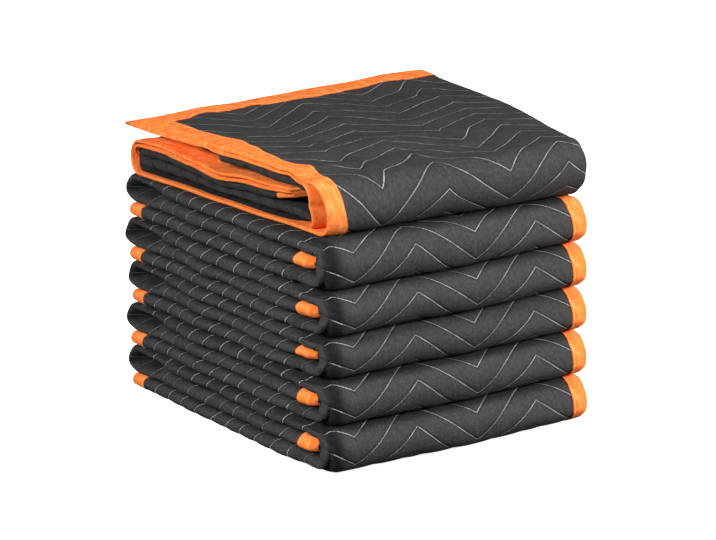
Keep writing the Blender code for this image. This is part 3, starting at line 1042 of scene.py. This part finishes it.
def tape_finish():
    """Orange woven edge tape, sewn through near its inner edge."""
    finish = Finish("orange binding tape")
    place, along, across = finish.map_of("tape")
    inset = abs(across)
    from_seam = abs(inset - (BAND - SEAM_INSET))
    stitch = abs(finish.math("FRACT", along / TAPE_STITCH) - 0.5) * 2.0
    thread = finish.ramp(from_seam, *THREAD_EDGE, 1.0, 0.0)
    thread = thread * finish.ramp(stitch, 0.78, 0.95, 1.0, 0.2)
    # Along the stitching the bump dips, and the colour also darkens there as painted shade.
    seam = finish.ramp(from_seam, 0.0, 0.003, 1.0, 0.0)

    mottle = finish.noise(place, 30.0, 4.0)
    grain = finish.noise(finish.stretched(along * 700.0, across * 900.0), 1.0, 2.0)
    folds = finish.noise(finish.stretched(along * 95.0, across * 28.0), 1.0, 3.0)
    # Pale patches at random: painted highlights.
    highlight_patches = finish.ramp(finish.noise(place, 75.0, 4.0, 0.75), 0.42, 0.66)
    # Dark patches at random: painted shade of crinkles.
    crumple_shade = finish.ramp(finish.noise(place, 38.0, 3.0, 0.7), 0.36, 0.56, 0.72, 1.0)
    ribs = finish.math("SINE", along * (math.tau / TAPE_RIB))

    # A painted shadow along the tape's inner edge, where it meets the cloth.
    painted_edge_shadow = finish.ramp(inset, BAND - 0.0014, BAND - 0.0006, 1.0, 0.2)
    lightness = (0.45 + 0.45 * mottle + 0.30 * grain + 0.30 * folds) * crumple_shade
    orange = finish.mix(lightness * (1.0 - 0.20 * seam) * painted_edge_shadow, DEEP_ORANGE, ORANGE)
    # Lay on the patches of painted highlight.
    orange = finish.mix(0.65 * highlight_patches, orange, HIGHLIGHT_ORANGE)
    height = 0.00008 * ribs + 0.00016 * grain + 0.0005 * thread - 0.0006 * seam
    height = height + 0.0016 * mottle + 0.0018 * folds
    return finish.close(
        {
            "Base Color": finish.mix(thread, orange, ORANGE_THREAD),
            "Roughness": 0.70 + 0.15 * grain,
            "Normal": finish.bump(height),
            "Specular IOR Level": 0.10,
        }
    )


# --- stage ------------------------------------------------------------------------
def make_camera():
    """A long lens to the front left, a little above the stack."""
    data = bpy.data.cameras.new("camera")
    data.sensor_width = 36.0
    data.lens = data.sensor_width * FOCAL_PIXELS / FRAME_WIDTH
    data.clip_end = 100.0
    camera = bpy.data.objects.new("camera", data)
    bpy.context.scene.collection.objects.link(camera)
    away = Vector(
        (
            math.sin(AZIMUTH) * math.cos(ELEVATION),
            -math.cos(AZIMUTH) * math.cos(ELEVATION),
            math.sin(ELEVATION),
        )
    )
    camera.location = AIM + away * DISTANCE
    camera.rotation_euler = away.to_track_quat("Z", "Y").to_euler()
    bpy.context.scene.camera = camera


def make_light(name, place, size, power):
    """A round softbox that faces the stack and is not seen itself."""
    data = bpy.data.lights.new(name, "AREA")
    data.shape = "DISK"
    data.size = size
    data.energy = power
    light = bpy.data.objects.new(name, data)
    light.location = place
    light.rotation_euler = Vector(place).to_track_quat("Z", "Y").to_euler()
    light.visible_camera = False
    bpy.context.scene.collection.objects.link(light)


def make_floor():
    """A pale floor, lit evenly, that throws no light on the stack."""
    mesh = bmesh.new()
    bmesh.ops.create_grid(mesh, x_segments=1, y_segments=1, size=30.0)
    data = bpy.data.meshes.new("floor")
    mesh.to_mesh(data)
    mesh.free()
    floor = bpy.data.objects.new("floor", data)
    bpy.context.scene.collection.objects.link(floor)
    data.materials.append(
        Finish("pale floor").close(
            {
                "Base Color": (0.9, 0.9, 0.9, 1.0),
                "Roughness": 0.9,
                "Specular IOR Level": 0.0,
                "Emission Color": WHITE,
                "Emission Strength": 0.78,
            }
        )
    )
    floor.visible_diffuse = False
    floor.visible_glossy = False


def make_stage():
    """The floor, a dim white surround and the lamps."""
    make_floor()
    world = bpy.data.worlds.new("studio")
    bpy.context.scene.world = world
    world.use_nodes = True
    background = world.node_tree.nodes["Background"]
    background.inputs["Color"].default_value = WHITE
    background.inputs["Strength"].default_value = 0.045
    make_light("key", (2.25, -3.05, 1.75), 1.2, 218.0)
    make_light("side", (-3.5, -0.9, 1.9), 1.0, 190.0)
    make_light("top", (-0.3, -1.3, 3.6), 2.0, 38.0)
    make_light("back", (0.9, 3.6, 0.24), 0.44, 150.0)
    make_light("right", (3.9, 1.4, 0.24), 0.44, 90.0)
    bpy.context.scene.view_settings.view_transform = "Standard"


def main():
    make_camera()
    make_stage()
    cloth, tape = cloth_finish(), tape_finish()
    for number, lie in enumerate(LIE, start=1):
        level = (number - 1) * RISE
        panel = make_cloth(f"blanket_{number}_cloth", lie, level, cloth)
        binding = make_tape(f"blanket_{number}_tape", lie, level, tape)
        flat = (total(across_route(0.0, 0.0)), total(along_route(lie["fold"])))


main()
